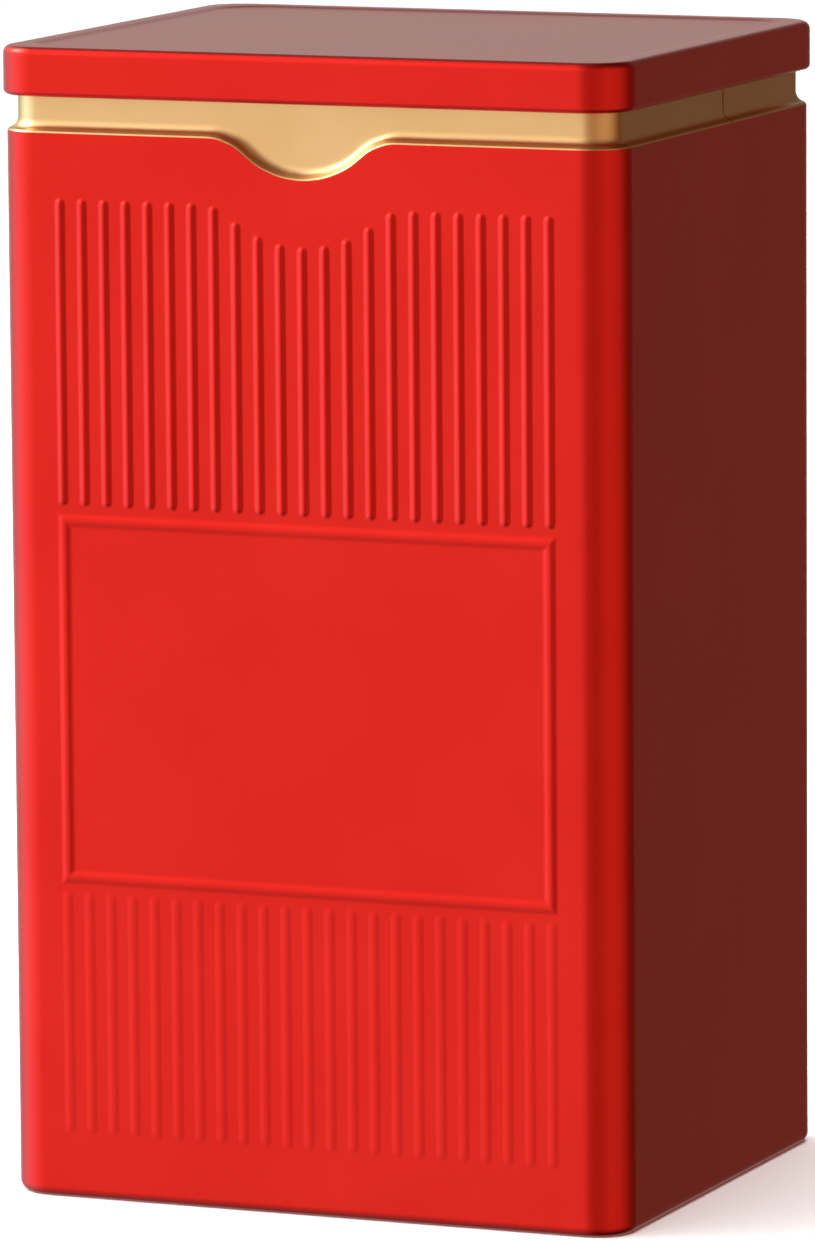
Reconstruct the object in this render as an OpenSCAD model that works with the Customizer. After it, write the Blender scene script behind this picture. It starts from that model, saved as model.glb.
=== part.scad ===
// Upright rectangular tin with a slip-over lid, in millimetres.
// Three pressed tinplate pieces: the wall, the base end that it is curled round, and the lid.
// +Z is up, the front face looks along -Y, and the origin is the middle of the footprint on the floor.

/* [Body] */
// Width of the wall across the front
body_w = 95; // [90:1:110]
// Depth of the wall from front to back
body_d = 80; // [70:1:110]
// Height of the shoulder, where the wall steps in to the neck
shoulder_z = 153.2; // [150:0.1:175]
// Radius of the wall's upright corners
corner_r = 6; // [5:0.5:9]
// Thickness of the tinplate
sheet_t = 0.3; // [0.25:0.01:0.35]

/* [Neck] */
// How far the neck stands back from the wall
neck_inset = 1.55; // [1.4:0.05:1.8]
// Radius of the curl that closes the neck's raw edge
rim_curl_r = 0.6; // [0.5:0.05:0.65]

/* [Thumb notch] */
// How far the shoulder dips at the middle of the front
notch_depth = 5.55; // [3:0.05:6]
// Half of the dip's width
notch_half_w = 14.5; // [12:0.5:18]
// Radius of the dip's floor
notch_floor_r = 13.8; // [8:0.1:14]

/* [Ribs] */
// Number of ribs in each field
rib_count = 23; // [11:2:23]
// Distance from rib to rib
rib_pitch = 3.39; // [3:0.01:3.4]
// Width of one rib
rib_w = 1.6; // [1.2:0.1:1.8]
// How far a rib stands out
rib_h = 0.3; // [0.3:0.05:0.5]
// Lower ends of the upper ribs
upper_rib_z0 = 100.2; // [100.2:0.1:105]
// Upper ends of the upper ribs, away from the dip
upper_rib_z1 = 144.3; // [130:0.1:145]
// Lower ends of the lower ribs
lower_rib_z0 = 9.4; // [6:0.1:20]
// Upper ends of the lower ribs
lower_rib_z1 = 44.9; // [30:0.1:44.9]
// How far the ribs' upper ends dip at the middle
wave_depth = 5.65; // [3:0.05:6]
// Half of the width of the ribs' dip
wave_half_w = 15.8; // [14:0.1:18]
// Radius of the floor of the ribs' dip
wave_floor_r = 18; // [10:0.5:18]

/* [Panel frame] */
// Outer width of the raised frame
frame_w = 76.5; // [60:0.5:77]
// Underside of the frame
frame_z0 = 45.7; // [45.7:0.1:60]
// Top of the frame
frame_z1 = 99.3; // [80:0.1:99.3]
// Width of the frame's bead
frame_bead_w = 2.2; // [1.6:0.1:2.6]
// How far the bead stands out
frame_bead_h = 0.3; // [0.3:0.05:0.5]

/* [Lid] */
// How far the lid overhangs the wall on each side
lid_overhang = 0.5; // [0.3:0.05:0.8]
// Underside of the lid when it is shut
lid_z0 = 158.5; // [158.5:0.1:160]
// Top of the lid when it is shut
lid_z1 = 165.5; // [165.5:0.1:167]
// Radius of the lid's upper edge
lid_edge_r = 1.2; // [0.9:0.05:1.4]
// Radius of the curl round the lid's lower edge
lid_curl_r = 0.8; // [0.7:0.05:0.8]
// Distance from the lid's side to the slope round its sunk panel
lid_rim_w = 2.6; // [2.6:0.1:3.2]
// Depth of the sunk panel
lid_recess = 0.27; // [0.2:0.01:0.29]
// Width of the slope down to the sunk panel
lid_slope_w = 2.6; // [2:0.1:3]
// Radius of the sunk panel's corners
lid_panel_r = 5; // [2:0.5:8]

/* [Base] */
// Width of the curl that grips the base end
base_curl_w = 3; // [2.6:0.1:3.4]
// Outer bend of the curl
base_bend_r = 1.5; // [1.2:0.1:1.6]
// Inner bend of the curl
base_inner_r = 0.9; // [0.7:0.1:1]
// Height of the curl's inner leg
base_leg_h = 2.9; // [2.4:0.1:3.2]
// Clearance between the inner leg and the base end
base_gap = 0.05; // [0.02:0.01:0.1]
// Width of the base end's flat border
base_border_w = 7; // [5:0.5:12]
// How far the middle of the base end is pressed up
base_step = 0.6; // [0.3:0.1:1]

/* [Side seam] */
// Distance of the lock seam behind the middle of the right side
seam_y = 5.2; // [-10:0.1:10]
// Width of the folded strip inside the wall
seam_w = 5; // [4:0.5:6]
// Thickness of the folded strip
seam_t = 0.6; // [0.5:0.1:0.8]
// Width of the fine line that the seam leaves outside
seam_line_w = 0.3; // [0.2:0.05:0.4]
// Depth of that line
seam_line_depth = 0.1; // [0.05:0.01:0.12]

/* [Hidden] */
$fn = 64;
// Overlap that joins pieces of one sheet
eps = 0.05;
// Room left past a cut
clear = 2;
lid_w = body_w + 2 * lid_overhang;
lid_d = body_d + 2 * lid_overhang;
lid_r = corner_r + lid_overhang;
neck_w = body_w - 2 * neck_inset;
neck_d = body_d - 2 * neck_inset;
neck_r = corner_r - neck_inset;
// The shut lid's border rests on the neck's rim, with this much air in between
rim_gap = 0.1;
neck_top = lid_z1 - sheet_t - rim_gap;
// Underside of the base end's border
base_panel_z = base_leg_h + 0.3;
base_skirt_z = 0.8;
base_w = body_w - 2 * (base_curl_w - sheet_t - base_gap);
base_d = body_d - 2 * (base_curl_w - sheet_t - base_gap);
base_r = corner_r - (base_curl_w - sheet_t - base_gap);
base_edge_r = 0.8;
front_y = -body_d / 2;

// Two equal and opposite bends: how far a dip has fallen at distance x from its middle
function bend_angle(depth, half_w) = 2 * atan(depth / half_w);
function bend_sum(depth, half_w) = half_w / sin(bend_angle(depth, half_w));
function floor_end(depth, half_w, floor_r) = floor_r * sin(bend_angle(depth, half_w));
function edge_r(depth, half_w, floor_r) = bend_sum(depth, half_w) - floor_r;
function dip(x, depth, half_w, floor_r) =
    abs(x) >= half_w ? 0
    : abs(x) < floor_end(depth, half_w, floor_r)
        ? depth - floor_r + sqrt(pow(floor_r, 2) - pow(x, 2))
        : edge_r(depth, half_w, floor_r)
            - sqrt(pow(edge_r(depth, half_w, floor_r), 2) - pow(half_w - abs(x), 2));
function rib_x(i) = (i - (rib_count - 1) / 2) * rib_pitch;
// Radius of a round bead from its width and how far it stands out
function bead_r(w, h) = (pow(w / 2, 2) + pow(h, 2)) / (2 * h);

module rounded_rect(w, d, r) {
    square([w - 2 * r, d], center = true);
    square([w, d - 2 * r], center = true);
    for (sx = [-1, 1], sy = [-1, 1])
        translate([sx * (w / 2 - r), sy * (d / 2 - r)]) circle(r);
}

module block(w, d, r, z0, z1) {
    translate([0, 0, z0]) linear_extrude(z1 - z0) rounded_rect(w, d, r);
}

// A section drawn with x = 0 on the outer face and x < 0 inside, taken once round the outline
module round_the_outline(w, d, r) {
    for (k = [0:3])
        let (a = k % 2 == 0 ? w : d, b = k % 2 == 0 ? d : w)
            rotate(90 * k) {
                translate([a / 2, 0, 0]) rotate([90, 0, 0]) linear_extrude(b - 2 * r, center = true) children();
                translate([a / 2 - r, b / 2 - r, 0]) rotate_extrude(angle = 90) translate([r, 0]) children();
            }
}

// A quarter of a bent strip: centre, outer radius, and the quadrant's signs
module bend(cx, cy, r, sx, sy) {
    translate([cx, cy]) intersection() {
        difference() {
            circle(r);
            circle(r - sheet_t);
        }
        translate([sx < 0 ? -r : 0, sy < 0 ? -r : 0]) square(r);
    }
}

module bar(x0, x1, y0, y1) {
    translate([x0, y0]) square([x1 - x0, y1 - y0]);
}

// Everything above the dipping shoulder, in front of the neck; grow widens it by the sheet's thickness
module thumb_notch(grow) {
    y_in = front_y + neck_inset + grow;
    side_r = edge_r(notch_depth, notch_half_w, notch_floor_r);
    bend_a = bend_angle(notch_depth, notch_half_w);
    // Where the floor's bend meets the edge's bend
    join_x = (notch_floor_r + grow) * sin(bend_a);
    join_z = shoulder_z - notch_depth + notch_floor_r - (notch_floor_r + grow) * cos(bend_a);
    translate([0, y_in, 0]) rotate([90, 0, 0]) linear_extrude(neck_inset + clear)
        difference() {
            union() {
                translate([-notch_half_w, join_z])
                    square([2 * notch_half_w, shoulder_z + clear - join_z]);
                intersection() {
                    translate([0, shoulder_z - notch_depth + notch_floor_r]) circle(notch_floor_r + grow);
                    translate([-join_x, shoulder_z - notch_depth - clear])
                        square([2 * join_x, notch_depth + clear]);
                }
            }
            for (s = [-1, 1])
                translate([s * notch_half_w, shoulder_z - side_r]) circle(side_r - grow);
        }
}

// One rib: a round bead with round ends, sunk so that it stands out by rib_h
module rib(x, z0, z1, inset) {
    r = bead_r(rib_w, rib_h);
    y = front_y + r - rib_h;
    translate([x, y, z0 + rib_w / 2]) {
        cylinder(r = r - inset, h = z1 - z0 - rib_w);
        sphere(r - inset);
        translate([0, 0, z1 - z0 - rib_w]) sphere(r - inset);
    }
}

// The raised frame: four round beads that meet in a ball at each corner
module frame_beads(inset) {
    r = bead_r(frame_bead_w, frame_bead_h) - inset;
    y = front_y + bead_r(frame_bead_w, frame_bead_h) - frame_bead_h;
    w = frame_w - frame_bead_w;
    h = frame_z1 - frame_z0 - frame_bead_w;
    translate([0, y, (frame_z0 + frame_z1) / 2])
        for (s = [-1, 1]) {
            translate([0, 0, s * h / 2]) rotate([0, 90, 0]) cylinder(r = r, h = w, center = true);
            translate([s * w / 2, 0, 0]) cylinder(r = r, h = h, center = true);
            for (t = [-1, 1]) translate([s * w / 2, 0, t * h / 2]) sphere(r);
        }
}

// All that is pressed into the front; only what is in front of the sheet is kept
module embossing(inset) {
    intersection() {
        union() {
            for (i = [0:rib_count - 1]) {
                x = rib_x(i);
                rib(x, upper_rib_z0, upper_rib_z1 - dip(x, wave_depth, wave_half_w, wave_floor_r), inset);
                rib(x, lower_rib_z0, lower_rib_z1, inset);
            }
            frame_beads(inset);
        }
        translate([-body_w / 2, front_y - clear, 0]) cube([body_w, clear + inset + eps, shoulder_z]);
    }
}

// The filled shape of wall and neck, shrunk by inset; one less the other leaves the sheet
module wall_form(inset, z0, z1) {
    difference() {
        block(body_w - 2 * inset, body_d - 2 * inset, corner_r - inset, z0, shoulder_z - inset);
        thumb_notch(inset);
    }
    block(neck_w - 2 * inset, neck_d - 2 * inset, neck_r - inset, z0, z1);
    embossing(inset);
}

// Section of the curl under the wall that grips the base end
module base_curl_section() {
    bend(-base_bend_r, base_bend_r, base_bend_r, 1, -1);
    bar(base_inner_r - base_curl_w, -base_bend_r, 0, sheet_t);
    bend(base_inner_r - base_curl_w, base_inner_r, base_inner_r, -1, -1);
    bar(-base_curl_w, sheet_t - base_curl_w, base_inner_r, base_leg_h);
}

module body_wall() {
    color([0.78, 0.09, 0.07]) {
        difference() {
            wall_form(0, base_bend_r, neck_top - rim_curl_r);
            wall_form(sheet_t, base_bend_r - clear, neck_top + clear);
            translate([body_w / 2 - seam_line_depth, seam_y, base_bend_r])
                cube([clear, seam_line_w, shoulder_z - sheet_t - base_bend_r - clear]);
        }
        round_the_outline(body_w, body_d, corner_r) base_curl_section();
        round_the_outline(neck_w, neck_d, neck_r)
            translate([-rim_curl_r, neck_top - rim_curl_r]) circle(rim_curl_r);
        translate([body_w / 2 - sheet_t - seam_t, seam_y - seam_w / 2, base_panel_z + 2 * base_step])
            cube([seam_t + eps, seam_w, shoulder_z - sheet_t - clear - base_panel_z - 2 * base_step]);
    }
}

// Section of the base end's edge: the border's outer part, a bend, and the skirt inside the curl
module base_edge_section() {
    top = base_panel_z + sheet_t;
    bar(-base_edge_r - eps, -base_edge_r, base_panel_z, top);
    bend(-base_edge_r, top - base_edge_r, base_edge_r, 1, 1);
    bar(-sheet_t, 0, base_skirt_z, top - base_edge_r);
}

module base_end() {
    top = base_panel_z + sheet_t;
    mid_w = base_w - 2 * base_border_w;
    mid_d = base_d - 2 * base_border_w;
    mid_r = 2 * base_r;
    color([0.74, 0.72, 0.68]) {
        difference() {
            union() {
                block(base_w - 2 * base_edge_r, base_d - 2 * base_edge_r, base_r - base_edge_r, base_panel_z, top);
                block(mid_w, mid_d, mid_r, base_panel_z, top + base_step);
            }
            block(mid_w - 2 * sheet_t, mid_d - 2 * sheet_t, mid_r - sheet_t, base_panel_z - clear,
                base_panel_z + base_step);
        }
        round_the_outline(base_w, base_d, base_r) base_edge_section();
    }
}

// Section of the lid's curl, skirt and upper edge
module lid_edge_section() {
    translate([-lid_curl_r, lid_z0 + lid_curl_r]) circle(lid_curl_r);
    bar(-sheet_t, 0, lid_z0 + lid_curl_r, lid_z1 - lid_edge_r);
    bend(-lid_edge_r, lid_z1 - lid_edge_r, lid_edge_r, 1, 1);
    bar(-lid_edge_r - eps, -lid_edge_r, lid_z1 - sheet_t, lid_z1);
}

// Section of the slope down from the lid's border to its sunk panel
module lid_slope_section() {
    slope_x = -lid_rim_w;
    floor_x = slope_x - lid_slope_w;
    panel_z = lid_z1 - lid_recess;
    bar(slope_x, slope_x + eps, lid_z1 - sheet_t, lid_z1);
    polygon([[slope_x, lid_z1], [slope_x, lid_z1 - sheet_t], [floor_x, panel_z - sheet_t], [floor_x, panel_z]]);
    bar(floor_x - eps, floor_x, panel_z - sheet_t, panel_z);
}

module lid() {
    inset = lid_rim_w + lid_slope_w;
    panel_z = lid_z1 - lid_recess;
    slope_r = lid_panel_r + lid_slope_w;
    color([0.82, 0.12, 0.09]) {
        round_the_outline(lid_w, lid_d, lid_r) lid_edge_section();
        difference() {
            block(lid_w - 2 * lid_edge_r, lid_d - 2 * lid_edge_r, lid_r - lid_edge_r, lid_z1 - sheet_t, lid_z1);
            block(lid_w - 2 * lid_rim_w, lid_d - 2 * lid_rim_w, slope_r, lid_z1 - clear, lid_z1 + clear);
        }
        round_the_outline(lid_w, lid_d, lid_panel_r + inset) lid_slope_section();
        block(lid_w - 2 * inset, lid_d - 2 * inset, lid_panel_r, panel_z - sheet_t, panel_z);
    }
}

body_wall();
base_end();
lid();
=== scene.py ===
# The looks of the rectangular tin: pressed sheets for wall, base end and lid, their lacquers, and the floor,
# light and camera. Lengths are in millimetres here, and turned into metres where a mesh, a light or the
# camera is made.
import math

import bpy
import numpy as np
from mathutils import Matrix, Vector


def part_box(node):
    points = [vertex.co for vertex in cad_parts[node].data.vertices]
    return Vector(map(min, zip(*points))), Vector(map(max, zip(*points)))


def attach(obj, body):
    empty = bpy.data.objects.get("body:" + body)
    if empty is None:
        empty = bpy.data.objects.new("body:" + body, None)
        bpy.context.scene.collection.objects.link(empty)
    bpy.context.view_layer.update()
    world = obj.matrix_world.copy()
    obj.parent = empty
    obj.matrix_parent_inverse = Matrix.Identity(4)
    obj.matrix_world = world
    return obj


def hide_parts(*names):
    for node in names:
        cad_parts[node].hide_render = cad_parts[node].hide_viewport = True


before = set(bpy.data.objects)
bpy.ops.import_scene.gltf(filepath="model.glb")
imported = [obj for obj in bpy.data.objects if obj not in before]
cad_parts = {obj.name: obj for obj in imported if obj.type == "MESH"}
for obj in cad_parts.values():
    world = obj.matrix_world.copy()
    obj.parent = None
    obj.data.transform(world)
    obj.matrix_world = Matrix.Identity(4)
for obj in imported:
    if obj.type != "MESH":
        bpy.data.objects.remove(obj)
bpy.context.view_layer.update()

MM = 0.001

# ---------------------------------------------------------------- sizes taken from the CAD frame
WALL_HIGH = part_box("body_wall")[1] / MM
LID_LOW, LID_HIGH = (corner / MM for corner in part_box("lid"))
BASE_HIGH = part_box("base_end")[1] / MM
HALF_W, HALF_D, RIM_TOP = WALL_HIGH
LID_HALF_W, LID_HALF_D, LID_TOP = LID_HIGH
BASE_HALF_W, BASE_HALF_D, BASE_TOP = BASE_HIGH

# ---------------------------------------------------------------- the design's other dimensions
SHEET = 0.3
CORNER_R = 6.0
NECK_INSET = 1.55
SHOULDER_Z = 153.2
SHOULDER_EDGE_R = 0.6
# The gold begins on this row of the shoulder's outer bend
GOLD_FROM = 2
SHOULDER_TILT = math.radians(72)
RIM_CURL_R = 0.6
RIM_CURL_TURN = math.radians(265)

# Depth, half width and floor radius of the shoulder's dip and of the dip in the ribs' upper ends
NOTCH = (5.55, 14.5, 13.8)
WAVE = (5.65, 15.8, 18.0)

RIB_COUNT, RIB_PITCH = 23, 3.39
UPPER_RIB = {"z0": 100.2, "z1": 144.3, "half_w": 0.86, "height": 0.31}
LOWER_RIB = {"z0": 9.4, "z1": 44.9, "half_w": 1.0, "height": 0.1}
FRAME_BEAD = {"half_x": 37.15, "z0": 46.8, "z1": 98.2, "half_w": 1.1, "height": 0.23}
# Above this height the wall is plain up to the shoulder
PLAIN_Z = 145.4

SEAM_Y = 5.2
SEAM_STRIP_W, SEAM_STRIP_T = 5.0, 0.6
# The folded strip inside starts and ends this far from the base end and the shoulder
SEAM_STRIP_MARGIN = 1
# The seam's groove outside is all but flush in the wall, and deeper in the neck
SEAM_GROOVE_WALL, SEAM_GROOVE_NECK, SEAM_GROOVE_W = 0.01, 0.1, 0.2
# Half the width of the seam's dark line in the gold lacquer
SEAM_LINE_HALF_W = 0.16

BASE_CURL_W, BASE_BEND_R, BASE_INNER_R, BASE_LEG_H = 3.0, 1.5, 0.9, 2.9
BASE_SKIRT_Z, BASE_EDGE_R, BASE_BORDER_W = 0.8, 0.8, 7.0
BASE_STEP_W, BASE_STEP_H = 1.6, 0.6
BASE_CORNER_R = CORNER_R - (HALF_W - BASE_HALF_W)

LID_CORNER_R = CORNER_R + LID_HALF_W - HALF_W
LID_CURL_R, LID_EDGE_R = 0.8, 1.2
LID_CURL_TURN, LID_CURL_STEPS = math.radians(255), 24
# The slope round the lid's panel begins LID_RIM_W from the side
LID_RIM_W, LID_SLOPE_W, LID_RECESS = 2.6, 2.6, 0.27
LID_PANEL_R = 5.0
# Corner radii of the base end inside its edge and inside its border
BASE_EDGE_CORNER_R, BASE_PANEL_R = 2.4, 7
# The corner radius on which the innermost ring of the lid and of the base end finishes
CENTRE_R = 0.3

# A rib's end has rows at these multiples of its half width from the end
RIB_END_STOPS = (-0.15, 0, 0.2, 0.4, 0.6, 0.8, 1, 1.2)
# Columns of the front, and columns of the sides and rows, lie at least this far apart
LEAST_FRONT_STEP, LEAST_STEP = 0.09, 0.1
# A row whose normal's cosine is above this is upright
UPRIGHT = 0.999

# The material slots of a sheet: outer face, back, cut edge and, on the wall, the gold neck
FACE, BACK, EDGE, NECK = range(4)


# ---------------------------------------------------------------- sections and outlines
class Section:
    """The path of a sheet's outer face: rows of inset from the outline, height, and the normal's angle,
    where 0 faces outwards and a quarter turn faces up."""

    def __init__(self, inset, z, angle):
        self.rows = [(inset, z, angle)]

    def line(self, length, steps=1):
        return self.stops(np.linspace(0, length, steps + 1)[1:])

    def stops(self, lengths):
        """Straight on, with a row at each of these distances."""
        inset, z, angle = self.rows[-1]
        for s in lengths:
            self.rows.append((inset + s * math.sin(angle), z + s * math.cos(angle), angle))
        return self

    def bend(self, radius, turn, steps):
        """An arc round a centre behind the face (turn > 0) or in front of it (turn < 0)."""
        inset, z, angle = self.rows[-1]
        r = math.copysign(radius, turn)
        centre = (inset + r * math.cos(angle), z - r * math.sin(angle))
        for a in np.linspace(angle, angle + turn, steps + 1)[1:]:
            self.rows.append((centre[0] - r * math.cos(a), centre[1] + r * math.sin(a), a))
        return self

    def array(self):
        return np.array(self.rows)


def equal_bends(forward, sideways):
    """Radius and turn of the two equal arcs that shift a path sideways over a distance forward."""
    turn = 2 * math.atan(sideways / forward)
    return forward / math.sin(turn) / 2, turn


def dip(x, depth, half_w, floor_r):
    """How far a dip with a round floor and round edges has fallen at each x, and its slope there."""
    turn = 2 * math.atan(depth / half_w)
    edge_r = half_w / math.sin(turn) - floor_r
    near = np.minimum(np.abs(x), floor_r * math.sin(turn))
    far = np.clip(half_w - np.abs(x), 0, edge_r * math.sin(turn))
    floor = depth - floor_r + np.sqrt(floor_r**2 - near**2)
    edge = edge_r - np.sqrt(edge_r**2 - far**2)
    on_floor = np.abs(x) < floor_r * math.sin(turn)
    slope = np.where(on_floor, near / np.sqrt(floor_r**2 - near**2), far / np.sqrt(edge_r**2 - far**2))
    return np.where(on_floor, floor, edge), -slope * np.sign(x)


class Outline:
    """The columns of a sheet, once round a rounded rectangle from the front's left end, seen from above
    anticlockwise. A column at a half length L and corner radius r lies at (kx Lx + nx r, ky Ly + ny r)."""

    def __init__(self, front, right, back, left, corner_steps=14):
        columns = []
        sides = ((front, 0), (right, 1), (back, 2), (left, 3))
        for stops, quarter in sides:
            a = math.radians(90 * quarter - 90)
            out = np.round((math.cos(a), math.sin(a)), 12)
            along = (-out[1], out[0])
            for s in stops:
                columns.append((out[0] + s * along[0], out[1] + s * along[1], out[0], out[1], quarter, s))
            for k in range(1, corner_steps):
                b = a + math.pi / 2 * k / corner_steps
                corner = (out[0] + along[0], out[1] + along[1])
                columns.append((*corner, math.cos(b), math.sin(b), -1, 0))
        c = np.array(columns)
        self.k, self.n, self.side, self.s = c[:, 0:2], c[:, 2:4], c[:, 4].astype(int), c[:, 5]

    def place(self, half_w, half_d, inset, radius):
        """Points of every column for rows with these insets and corner radii, as (rows, columns, 2)."""
        half = np.stack([half_w - inset - radius, half_d - inset - radius], 1)
        return self.k[None] * half[:, None] + self.n[None] * radius[:, None, None]


def even(count):
    return np.linspace(-1, 1, count)


# ---------------------------------------------------------------- meshes
def add_mesh(name, points, faces, face_materials, materials):
    """A smooth-shaded object from points in millimetres and arrays of faces, one for each face size."""
    mesh = bpy.data.meshes.new(name)
    counts = np.concatenate([np.full(len(f), f.shape[1]) for f in faces])
    loops = np.concatenate([f.ravel() for f in faces])
    mesh.vertices.add(len(points))
    mesh.vertices.foreach_set("co", (points * MM).astype(np.float32).ravel())
    mesh.loops.add(len(loops))
    mesh.loops.foreach_set("vertex_index", loops.astype(np.int32))
    mesh.polygons.add(len(counts))
    mesh.polygons.foreach_set("loop_start", (np.cumsum(counts) - counts).astype(np.int32))
    mesh.polygons.foreach_set("material_index", face_materials.astype(np.int32))
    mesh.polygons.foreach_set("use_smooth", np.ones(len(counts), bool))
    for m in materials:
        mesh.materials.append(m)
    mesh.update(calc_edges=True)
    mesh.validate()
    piece = bpy.data.objects.new(name, mesh)
    bpy.context.scene.collection.objects.link(piece)
    weighted = piece.modifiers.new("flat faces stay flat", "WEIGHTED_NORMAL")
    weighted.keep_sharp = True
    return piece


def add_sheet(name, outer, inner, row_materials, materials, closed_end):
    """A closed shell between two grids of points, (rows, columns, 3). The columns close on themselves.
    row_materials gives each band of the outer face its material slot."""
    rows, columns = outer.shape[:2]
    grid = np.arange(rows * columns).reshape(rows, columns)
    back = grid + rows * columns

    def bands(g):
        after = np.roll(g, -1, axis=1)
        return np.stack([g[:-1], after[:-1], after[1:], g[1:]], -1).reshape(-1, 4)

    def edge(a, b):
        return np.stack([a, np.roll(a, -1), np.roll(b, -1), b], -1)

    quads = [bands(grid), bands(back)[:, ::-1], edge(back[0], grid[0])]
    marks = [np.repeat(row_materials, columns), np.full((rows - 1) * columns, BACK), np.full(columns, EDGE)]
    faces = []
    if closed_end:
        faces = [grid[-1][None], back[-1][None, ::-1]]
        marks += [row_materials[-1:], np.array([BACK])]
    else:
        quads.append(edge(grid[-1], back[-1]))
        marks.append(np.full(columns, EDGE))
    points = np.concatenate([outer.reshape(-1, 3), inner.reshape(-1, 3)])
    return add_mesh(name, points, [np.concatenate(quads), *faces], np.concatenate(marks), materials)


def swept(outline, half_w, half_d, rows, radius):
    """Points and normals of the outer face of a section taken round an outline."""
    inset, z, angle = rows.T
    flat = outline.place(half_w, half_d, inset, radius)
    points = np.concatenate([flat, np.broadcast_to(z[:, None, None], (*flat.shape[:2], 1))], -1)
    out, up = np.cos(angle), np.sin(angle)
    sideways = outline.n[None] * out[:, None, None]
    normals = np.concatenate([sideways, np.broadcast_to(up[:, None, None], (*flat.shape[:2], 1))], -1)
    return points, normals


# ---------------------------------------------------------------- the wall
def rib_centres():
    return (np.arange(RIB_COUNT) - (RIB_COUNT - 1) / 2) * RIB_PITCH


def bump(distance, half_w, height):
    """A pressed bead's height: round on top, and running out softly into the sheet."""
    t = np.minimum(distance / half_w, 1)
    return height * (1 - t**2) ** 2


def embossing(x, z):
    """How far the front stands out at each point."""
    height = np.zeros_like(x)
    centres = rib_centres()
    nearest = centres[np.clip(np.rint((x - centres[0]) / RIB_PITCH).astype(int), 0, RIB_COUNT - 1)]
    for rib, fall in ((UPPER_RIB, dip(nearest, *WAVE)[0]), (LOWER_RIB, 0)):
        low, high = rib["z0"] + rib["half_w"], rib["z1"] - rib["half_w"] - fall
        distance = np.hypot(x - nearest, z - np.clip(z, low, high))
        height = np.maximum(height, bump(distance, rib["half_w"], rib["height"]))
    middle, half_h = (FRAME_BEAD["z0"] + FRAME_BEAD["z1"]) / 2, (FRAME_BEAD["z1"] - FRAME_BEAD["z0"]) / 2
    distance = np.abs(np.maximum(np.abs(x) - FRAME_BEAD["half_x"], np.abs(z - middle) - half_h))
    return np.maximum(height, bump(distance, FRAME_BEAD["half_w"], FRAME_BEAD["height"]))


def thinned(values, least):
    """The sorted values, without those nearer than least to the one before."""
    kept = []
    for v in sorted(values):
        if not kept or v - kept[-1] >= least:
            kept.append(v)
    return np.array(kept)


def around(centre, half_w):
    """Stops across a bead."""
    return [centre + half_w * t for t in (-1.12, -1, -0.8, -0.6, -0.4, -0.2, 0, 0.2, 0.4, 0.6, 0.8, 1, 1.12)]


def wall_columns():
    reach = HALF_W - CORNER_R
    xs = [-reach, -40, 40, reach]
    for c in rib_centres():
        xs += around(c, UPPER_RIB["half_w"])
    for side in (-1, 1):
        xs += around(side * FRAME_BEAD["half_x"], FRAME_BEAD["half_w"])
    depth = HALF_D - CORNER_R
    seam = [-3.4, -2.7, -2.5, -2.3, -0.5, -0.3, -0.15, 0, 0.15, 0.3, 0.5, 2.3, 2.5, 2.7]
    ys = [*np.linspace(-depth, depth, 11), *(SEAM_Y + s for s in seam)]
    front, right = thinned(xs, LEAST_FRONT_STEP) / reach, thinned(ys, LEAST_STEP) / depth
    return Outline(front, right, even(13), even(11), corner_steps=16)


def wall_rows():
    """The section of the wall, and the indexes of the rows where wall, shoulder and neck end."""
    section = Section(BASE_CURL_W, BASE_LEG_H, math.pi)
    section.line(BASE_LEG_H - BASE_INNER_R, 2)
    section.bend(BASE_INNER_R, math.pi / 2, 8)
    section.line(BASE_CURL_W - BASE_INNER_R - BASE_BEND_R)
    section.bend(BASE_BEND_R, math.pi / 2, 10)
    heights = [3, 5, 8, 20, 32, 60, 72, 85, 110, 120, 130, PLAIN_Z, 147.5, 149.5, 151.2, 152.4, SHOULDER_Z]
    for rib in (UPPER_RIB, LOWER_RIB):
        for s in RIB_END_STOPS:
            heights += [rib["z0"] + rib["half_w"] * s, rib["z1"] - rib["half_w"] * s]
    heights += [*np.arange(UPPER_RIB["z1"] - WAVE[0] - 1.4, UPPER_RIB["z1"], 0.2)]
    for z in (FRAME_BEAD["z0"], FRAME_BEAD["z1"]):
        heights += around(z, FRAME_BEAD["half_w"])
    section.stops(thinned(heights, LEAST_STEP) - BASE_BEND_R)
    wall_end = len(section.rows) - 1
    section.bend(SHOULDER_EDGE_R, SHOULDER_TILT, 7)
    section.bend(NECK_INSET / (1 - math.cos(SHOULDER_TILT)) - SHOULDER_EDGE_R, -SHOULDER_TILT, 12)
    shoulder_end = len(section.rows) - 1
    section.line(RIM_TOP - RIM_CURL_R - section.rows[-1][1], 8)
    neck_end = len(section.rows) - 1
    section.bend(RIM_CURL_R, RIM_CURL_TURN, 20)
    return section.array(), wall_end, shoulder_end, neck_end


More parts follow.
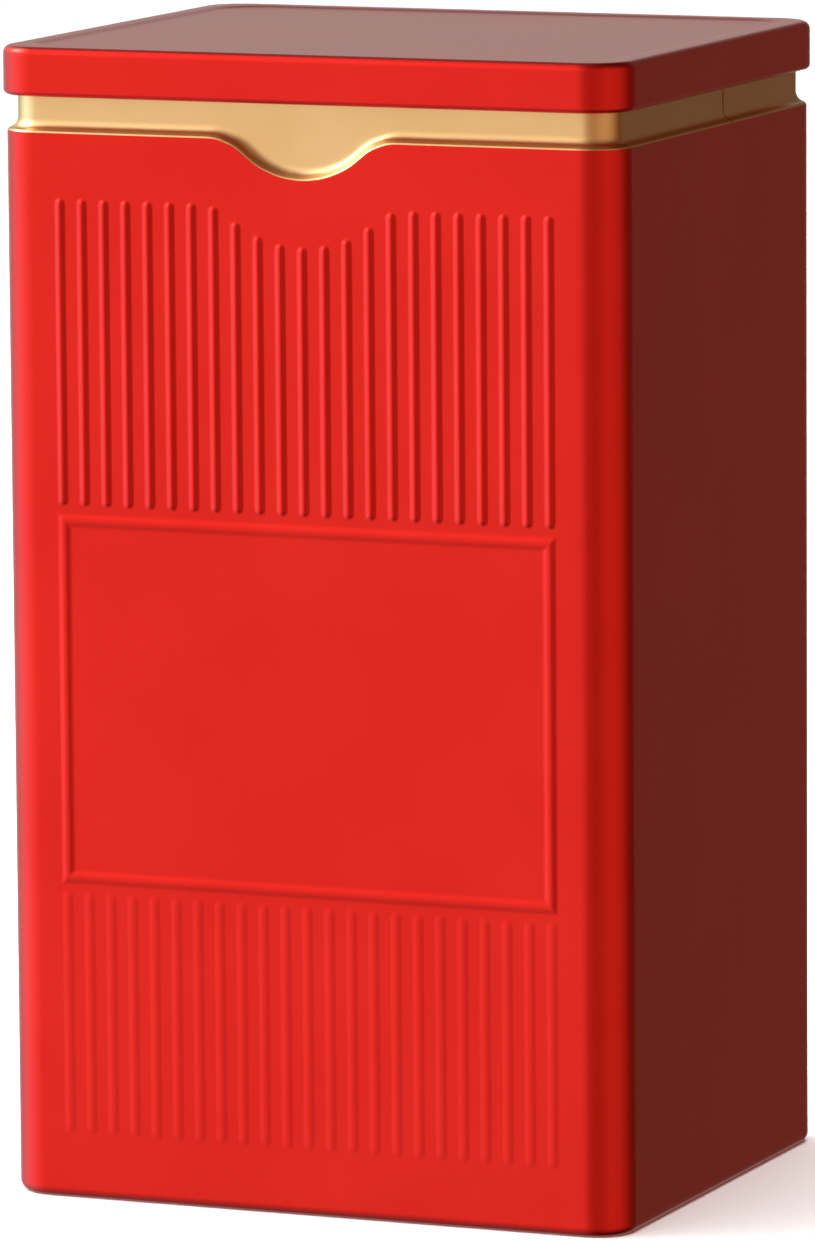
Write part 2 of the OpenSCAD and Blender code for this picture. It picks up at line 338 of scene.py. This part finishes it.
def bend_shoulder(points, normals, rows, front, wall_end, shoulder_end, neck_end):
    """Lets the front's shoulder dip into the thumb notch, with the same section all along the dip."""
    x = points[:, front, 0].copy()
    z = rows[:, 1][:, None] + 0 * x
    fall, slope = dip(x[wall_end], *NOTCH)
    across = np.stack([slope, np.ones_like(slope)]) / np.hypot(slope, 1)
    line_z = SHOULDER_Z - fall
    first = int(np.argmin(np.abs(rows[:wall_end, 1] - PLAIN_Z)))
    share = (z[first:wall_end + 1] - PLAIN_Z) / (SHOULDER_Z - PLAIN_Z)
    z[first:wall_end + 1] = PLAIN_Z + share * (line_z - PLAIN_Z)
    rise = rows[wall_end:shoulder_end + 1, 1][:, None] - SHOULDER_Z
    x[wall_end:shoulder_end + 1] += rise * across[0]
    z[wall_end:shoulder_end + 1] = line_z + rise * across[1]
    foot, top = rows[shoulder_end, 1], rows[neck_end, 1]
    share = (rows[shoulder_end:neck_end + 1, 1][:, None] - foot) / (top - foot)
    x[shoulder_end:neck_end + 1] += (1 - share) * (x[shoulder_end] - x[neck_end])
    z[shoulder_end:neck_end + 1] = z[shoulder_end] + share * (top - z[shoulder_end])
    points[:, front, 0], points[:, front, 2] = x, z
    band = slice(wall_end, shoulder_end + 1)
    up = normals[band, front, 2].copy()
    normals[band, front, 0] = up * across[0]
    normals[band, front, 2] = up * across[1]


def make_wall(materials):
    outline = wall_columns()
    rows, wall_end, shoulder_end, neck_end = wall_rows()
    points, normals = swept(outline, HALF_W, HALF_D, rows, CORNER_R - rows[:, 0])
    front = np.flatnonzero(outline.side == 0)
    bend_shoulder(points, normals, rows, front, wall_end, shoulder_end, neck_end)
    thickness = np.full(points.shape[:2], SHEET)
    # The lock seam: a fine groove outside, a strip of folded sheet inside
    right = np.flatnonzero(outline.side == 1)
    from_seam = points[:, right, 1] - SEAM_Y
    index, upright = np.arange(len(rows)), np.cos(rows[:, 2]) > UPRIGHT
    depth = np.where(index > shoulder_end, SEAM_GROOVE_NECK, SEAM_GROOVE_WALL)
    depth[(rows[:, 1] < BASE_BEND_R) | (index > neck_end)] = 0
    points[:, right, 0] -= depth[:, None] * np.exp(-(from_seam / SEAM_GROOVE_W) ** 2)
    strip_low, strip_high = BASE_TOP + SEAM_STRIP_MARGIN, SHOULDER_Z - SEAM_STRIP_MARGIN
    strip_rows = upright & (index <= wall_end) & (rows[:, 1] > strip_low) & (rows[:, 1] < strip_high)
    strip = (np.abs(from_seam) < SEAM_STRIP_W / 2 + 0.01) & strip_rows[:, None]
    thickness[:, right] += SEAM_STRIP_T * strip
    inner = points - normals * thickness[..., None]
    face = np.ix_(range(wall_end + 1), front)
    pressed = embossing(points[face][..., 0], points[face][..., 2])
    on_wall = upright[:wall_end + 1, None]
    for grid in (points, inner):
        y = grid[..., 1]
        y[face] = y[face] - pressed * on_wall
    bands = np.where(index[:-1] < wall_end + GOLD_FROM, FACE, NECK)
    piece = add_sheet("tin_wall", points, inner, bands, materials, closed_end=False)
    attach(piece, "tin")
    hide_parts("body_wall")


# ---------------------------------------------------------------- lid and base end
def lid_radius(inset):
    """The corners' radius falls with the inset as far as the border, then goes over into the panel's own."""
    stops = (0, LID_EDGE_R, LID_RIM_W, LID_RIM_W + LID_SLOPE_W, LID_HALF_D)
    corners = (LID_CORNER_R, LID_CORNER_R - LID_EDGE_R, LID_PANEL_R + LID_SLOPE_W, LID_PANEL_R, CENTRE_R)
    return np.interp(inset, stops, corners)


def make_lid(materials):
    turn_left = 2 * math.pi - LID_CURL_TURN
    start = (LID_CURL_R * (1 - math.cos(turn_left)), LID_LOW.z + LID_CURL_R * (1 + math.sin(turn_left)))
    section = Section(*start, turn_left)
    section.bend(LID_CURL_R, LID_CURL_TURN, LID_CURL_STEPS)
    section.line(LID_TOP - LID_EDGE_R - LID_LOW.z - LID_CURL_R, 3)
    section.bend(LID_EDGE_R, math.pi / 2, 12)
    section.line(LID_RIM_W - LID_EDGE_R, 3)
    radius, turn = equal_bends(LID_SLOPE_W, LID_RECESS)
    section.bend(radius, turn, 8)
    section.bend(radius, -turn, 8)
    section.line(LID_HALF_D - section.rows[-1][0] - 1, 8)
    rows = section.array()
    radii = lid_radius(rows[:, 0])
    curl = slice(LID_CURL_STEPS + 1)
    radii[curl] = LID_CORNER_R - rows[curl, 0]
    outline = Outline(even(15), even(13), even(15), even(13), corner_steps=16)
    points, normals = swept(outline, LID_HALF_W, LID_HALF_D, rows, radii)
    slots = np.full(len(rows) - 1, FACE)
    piece = add_sheet("tin_lid", points, points - normals * SHEET, slots, materials, closed_end=True)
    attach(piece, "lid")
    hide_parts("lid")


def make_base(materials):
    top = BASE_TOP - BASE_STEP_H
    section = Section(0, BASE_SKIRT_Z, 0)
    section.line(top - BASE_EDGE_R - BASE_SKIRT_Z, 2)
    section.bend(BASE_EDGE_R, math.pi / 2, 8)
    section.line(BASE_BORDER_W - BASE_EDGE_R, 3)
    radius, turn = equal_bends(BASE_STEP_W, BASE_STEP_H)
    section.bend(radius, -turn, 6)
    section.bend(radius, turn, 6)
    section.line(BASE_HALF_D - section.rows[-1][0] - 1, 6)
    rows = section.array()
    stops = (0, BASE_EDGE_R, BASE_BORDER_W, BASE_HALF_D)
    radii = np.interp(rows[:, 0], stops, (BASE_CORNER_R, BASE_EDGE_CORNER_R, BASE_PANEL_R, CENTRE_R))
    outline = Outline(even(15), even(13), even(15), even(13), corner_steps=12)
    points, normals = swept(outline, BASE_HALF_W, BASE_HALF_D, rows, radii)
    slots = np.full(len(rows) - 1, FACE)
    piece = add_sheet("tin_base", points, points - normals * SHEET, slots, materials, closed_end=True)
    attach(piece, "tin")
    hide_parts("base_end")


# ---------------------------------------------------------------- materials
class Finish:
    """A metal under lacquer, with its node tree's few kinds of node. Patterns lie in the tin's own frame."""

    def __init__(self, name, metal, roughness, coat=0.0, coat_roughness=0.2):
        self.material = bpy.data.materials.new(name)
        self.material.use_nodes = True
        self.tree = self.material.node_tree
        self.shader = self.tree.nodes["Principled BSDF"]
        self.shader.inputs["Metallic"].default_value = 1.0
        self.shader.inputs["Base Color"].default_value = (*metal, 1)
        self.shader.inputs["Roughness"].default_value = roughness
        self.shader.inputs["Coat Weight"].default_value = coat
        self.shader.inputs["Coat Roughness"].default_value = coat_roughness
        self.place = self.tree.nodes.new("ShaderNodeTexCoord").outputs["Object"]

    def node(self, kind, inputs=(), **settings):
        n = self.tree.nodes.new("ShaderNode" + kind)
        for key, value in settings.items():
            setattr(n, key, value)
        for key, value in dict(inputs).items():
            if hasattr(value, "links"):
                self.tree.links.new(value, n.inputs[key])
            else:
                n.inputs[key].default_value = value
        return n

    def noise(self, size_mm, detail=2.0, stretch=(1, 1, 1)):
        """Noise whose features are about size_mm across, drawn out along an axis by stretch."""
        scale = [1 / (size_mm * MM * s) for s in stretch]
        place = self.node("Mapping", {"Vector": self.place, "Scale": scale}).outputs["Vector"]
        return self.node("TexNoise", {"Vector": place, "Scale": 1.0, "Detail": detail}).outputs["Fac"]

    def ranged(self, fac, low, high, start=0.0, end=1.0):
        """fac from start to end, carried over to low to high."""
        inputs = {"Value": fac, "From Min": start, "From Max": end, "To Min": low, "To Max": high}
        return self.node("MapRange", inputs).outputs["Result"]

    def mixed(self, fac, a, b):
        inputs = {0: fac, 6: a, 7: b}
        return self.node("Mix", inputs, data_type="RGBA").outputs[2]

    def bumps(self, *layers):
        """Bump from (height, depth in millimetres) layers, one on the other."""
        normal = None
        for height, depth_mm in layers:
            inputs = {"Height": height, "Distance": depth_mm * MM, "Strength": 1.0}
            if normal is not None:
                inputs["Normal"] = normal
            normal = self.node("Bump", inputs).outputs["Normal"]
        self.link(normal, "Normal")

    def link(self, output, name):
        self.tree.links.new(output, self.shader.inputs[name])


def red_lacquer():
    """Transparent red lacquer over tinplate: satin, with a fine grain and a few specks."""
    f = Finish("red_lacquer", (0.80, 0.013, 0.006), 0.30, coat=0.28, coat_roughness=0.15)
    cloud = f.noise(22, detail=3)
    red = f.mixed(f.ranged(cloud, 0, 1, 0.35, 0.65), (0.79, 0.012, 0.005, 1), (0.82, 0.015, 0.007, 1))
    cells = f.node("TexVoronoi", {"Vector": f.place, "Scale": 70.0})
    near = f.ranged(cells.outputs["Distance"], 1, 0, 0.008, 0.016)
    chosen = f.node("Math", {0: cells.outputs["Color"], 1: 0.86}, operation="GREATER_THAN").outputs[0]
    speck = f.node("Math", {0: near, 1: chosen}, operation="MULTIPLY").outputs[0]
    f.link(f.mixed(speck, red, (0.95, 0.55, 0.45, 1)), "Base Color")
    grain = f.noise(0.28, detail=2)
    f.link(f.ranged(grain, 0.26, 0.36), "Roughness")
    f.bumps((grain, 0.006), (f.noise(6, detail=1), 0.01), (f.noise(45, detail=1), 0.08))
    return f.material


def gold_lacquer():
    """Transparent gold lacquer over tinplate, with the faint upright drawing lines of the neck's forming
    and the seam's dark line on the right side."""
    f = Finish("gold_lacquer", (0.85, 0.51, 0.22), 0.32, coat=0.1, coat_roughness=0.25)
    cloud = f.noise(15, detail=3)
    gold = f.mixed(f.ranged(cloud, 0, 1, 0.35, 0.65), (0.83, 0.48, 0.2, 1), (0.865, 0.525, 0.23, 1))
    x, y, _ = f.node("SeparateXYZ", {"Vector": f.place}).outputs
    on_line = {0: y, 1: SEAM_Y * MM, 2: SEAM_LINE_HALF_W * MM}
    line = f.node("Math", on_line, operation="COMPARE").outputs[0]
    on_right = f.ranged(x, 0, 1, 0, 0.01)
    seam = f.node("Math", {0: line, 1: on_right}, operation="MULTIPLY").outputs[0]
    dark = (0.2, 0.09, 0.03, 1)
    f.link(f.mixed(seam, gold, dark), "Base Color")
    lines = f.noise(0.35, detail=3, stretch=(1, 1, 12))
    grain = f.noise(0.25, detail=2)
    f.link(f.ranged(grain, 0.28, 0.38), "Roughness")
    f.bumps((lines, 0.006), (grain, 0.005))
    return f.material


def tinplate():
    """Bare tinplate under clear lacquer, with rolling lines and small scuffs."""
    f = Finish("tinplate", (0.78, 0.765, 0.72), 0.34)
    f.shader.inputs["Metallic"].default_value = 0.8
    lines = f.noise(0.3, detail=4, stretch=(30, 30, 1))
    cloud = f.noise(12, detail=4)
    f.link(f.mixed(cloud, (0.75, 0.73, 0.68, 1), (0.82, 0.805, 0.76, 1)), "Base Color")
    f.link(f.ranged(cloud, 0.30, 0.40, 0.3, 0.7), "Roughness")
    f.bumps((lines, 0.004), (f.noise(8, detail=1), 0.02))
    return f.material


def cut_edge():
    """The sheared edge of the sheet: raw steel."""
    f = Finish("cut_edge", (0.5, 0.5, 0.5), 0.45)
    f.link(f.ranged(f.noise(0.2), 0.35, 0.6), "Roughness")
    return f.material


# ---------------------------------------------------------------- floor, light and camera
# The studio's light by azimuth in degrees, with its red, green and blue: 0 is straight before the tin, 90 to
# its right. It was set so that the tones look right from the camera's side.
ROOM = ((-180, 0.24, 0.24, 0.24), (-157, 0.51, 0.58, 0.54), (-135, 0.6, 0.66, 0.66),
        (-112, 0.65, 0.66, 0.7), (-90, 1.0, 1.6, 1.85), (-72, 1.2, 2.0, 2.5), (-55, 1.22, 1.7, 2.1),
        (-42, 1.1, 1.3, 1.4), (-27, 0.96, 0.94, 0.94), (-12, 0.9, 0.9, 0.9), (2, 0.53, 0.43, 0.36),
        (14, 0.48, 0.34, 0.24), (30, 0.48, 0.34, 0.24), (45, 0.58, 0.42, 0.3), (62, 0.67, 0.5, 0.38),
        (88, 0.6, 0.45, 0.34), (104, 0.45, 0.3, 0.2), (122, 0.21, 0.11, 0.06), (142, 0.12, 0.05, 0.03),
        (157, 0.17, 0.125, 0.09))
# How the room's light changes from the floor (-1) by the horizon (0) to the ceiling (1)
ROOM_HEIGHT = ((-1, 0.15), (-0.85, 0.4), (-0.6, 0.72), (-0.35, 0.95), (-0.15, 1.0), (0.2, 1.0), (0.5, 0.9),
               (0.8, 0.5), (1, 0.28))
# Soft boxes and, last, a patch that takes light away: azimuth, elevation, width in degrees and brightness
SOFT_BOXES = ((-26, 34, 16, 0.28), (-62, 31, 9, 5.0), (-87, 38, 9, 15.0), (-157, 34, 13, -0.25))


class World:
    """The studio round the tin, as a pattern over the directions from it."""

    def __init__(self):
        self.world = bpy.data.worlds.new("studio")
        bpy.context.scene.world = self.world
        self.world.use_nodes = True
        self.tree = self.world.node_tree
        self.direction = self.tree.nodes.new("ShaderNodeTexCoord").outputs["Generated"]

    def node(self, kind, *inputs, output=0, **settings):
        n = self.tree.nodes.new("ShaderNode" + kind)
        for key, value in settings.items():
            setattr(n, key, value)
        for socket, value in zip(n.inputs, inputs):
            if hasattr(value, "links"):
                self.tree.links.new(value, socket)
            else:
                socket.default_value = value
        return n.outputs[output]

    def math(self, operation, *inputs):
        return self.node("Math", *inputs, operation=operation)

    def ramp(self, value, stops):
        """A smooth colour ramp with a stop at each of these values."""
        n = self.tree.nodes.new("ShaderNodeValToRGB")
        n.color_ramp.interpolation = "EASE"
        elements = n.color_ramp.elements
        while len(elements) < len(stops):
            elements.new(0.5)
        # A stop with one level instead of a colour is grey
        for element, (position, *colour) in zip(elements, stops):
            element.position = position
            element.color = (*(colour * 3)[:3], 1)
        self.tree.links.new(value, n.inputs[0])
        return n.outputs[0]

    def room(self):
        x, y, z = self.tree.nodes.new("ShaderNodeSeparateXYZ").outputs
        self.tree.links.new(self.direction, x.node.inputs[0])
        azimuth = self.math("ARCTAN2", x, self.math("MULTIPLY", y, -1.0))
        turn = self.math("ADD", self.math("DIVIDE", azimuth, 2 * math.pi), 0.5)
        round_about = self.ramp(turn, [(a / 360 + 0.5, *colour) for a, *colour in ROOM])
        height = self.math("ADD", self.math("DIVIDE", z, 2.0), 0.5)
        up_and_down = self.ramp(height, [(h / 2 + 0.5, level) for h, level in ROOM_HEIGHT])
        return self.node("VectorMath", round_about, up_and_down, operation="MULTIPLY")

    def soft_box(self, azimuth, elevation, width, level):
        a, e = math.radians(azimuth), math.radians(elevation)
        axis = (math.sin(a) * math.cos(e), -math.cos(a) * math.cos(e), math.sin(e))
        towards = self.node("VectorMath", self.direction, axis, operation="DOT_PRODUCT", output=1)
        falling = self.math("DIVIDE", self.math("SUBTRACT", towards, 1.0), math.radians(width) ** 2)
        return self.math("MULTIPLY", self.math("EXPONENT", falling), level)


def add_world():
    studio = World()
    light = studio.room()
    for box in SOFT_BOXES:
        light = studio.node("VectorMath", light, studio.soft_box(*box), operation="ADD")
    studio.tree.links.new(light, studio.tree.nodes["Background"].inputs["Color"])


def add_floor():
    half_size = 9000
    corners = [(half_size * x, half_size * y, 0) for x, y in ((-1, -1), (1, -1), (1, 1), (-1, 1))]
    mesh = bpy.data.meshes.new("floor")
    mesh.from_pydata([Vector(c) * MM for c in corners], [], [(0, 1, 2, 3)])
    material = bpy.data.materials.new("floor")
    material.use_nodes = True
    shader = material.node_tree.nodes["Principled BSDF"]
    shader.inputs["Base Color"].default_value = (0.93, 0.93, 0.93, 1)
    shader.inputs["Roughness"].default_value = 0.9
    shader.inputs["Specular IOR Level"].default_value = 0.1
    mesh.materials.append(material)
    floor = bpy.data.objects.new("floor", mesh)
    bpy.context.scene.collection.objects.link(floor)
    floor.visible_glossy = False


def add_light(name, place, size, power, aim=(0, 0, 80)):
    light = bpy.data.lights.new(name, "AREA")
    light.shape = "DISK"
    light.size = size * MM
    light.energy = power
    holder = bpy.data.objects.new(name, light)
    holder.location = Vector(place) * MM
    holder.rotation_euler = (Vector(aim) - Vector(place)).to_track_quat("-Z", "Y").to_euler()
    holder.visible_glossy = False
    bpy.context.scene.collection.objects.link(holder)


# The camera stands before the front's right half and a little above, level but for a small roll
CAMERA_AZIMUTH, CAMERA_ELEVATION, CAMERA_ROLL = (math.radians(a) for a in (22.803, 8.305, -0.41))
CAMERA_DISTANCE = 1400.1
CAMERA_AIM_Z = 76.6
CAMERA_SHIFT_RIGHT, CAMERA_SHIFT_UP = -1.09, 3.45
CAMERA_LENS = 280.18


def add_camera():
    a, e, roll = CAMERA_AZIMUTH, CAMERA_ELEVATION, CAMERA_ROLL
    back = Vector((math.sin(a) * math.cos(e), -math.cos(a) * math.cos(e), math.sin(e)))
    level = back.cross(Vector((0, 0, -1))).normalized()
    upright = level.cross(-back)
    right = math.cos(roll) * level + math.sin(roll) * upright
    up = math.cos(roll) * upright - math.sin(roll) * level
    place = Vector((0, 0, CAMERA_AIM_Z)) + back * CAMERA_DISTANCE
    place += right * CAMERA_SHIFT_RIGHT + up * CAMERA_SHIFT_UP
    data = bpy.data.cameras.new("camera")
    data.lens = CAMERA_LENS
    data.clip_end = 50
    camera = bpy.data.objects.new("camera", data)
    turn = Matrix((right, up, back)).transposed().to_4x4()
    camera.matrix_world = Matrix.Translation(place * MM) @ turn
    bpy.context.scene.collection.objects.link(camera)
    bpy.context.scene.camera = camera


add_camera()
red, gold, plain, edge_metal = red_lacquer(), gold_lacquer(), tinplate(), cut_edge()
make_wall([red, plain, edge_metal, gold])
make_lid([red, plain, edge_metal])
make_base([plain, plain, edge_metal])
add_world()
add_floor()
add_light("overhead", place=(0, 0, 1500), size=1600, power=31)
bpy.context.scene.view_settings.view_transform = "Standard"
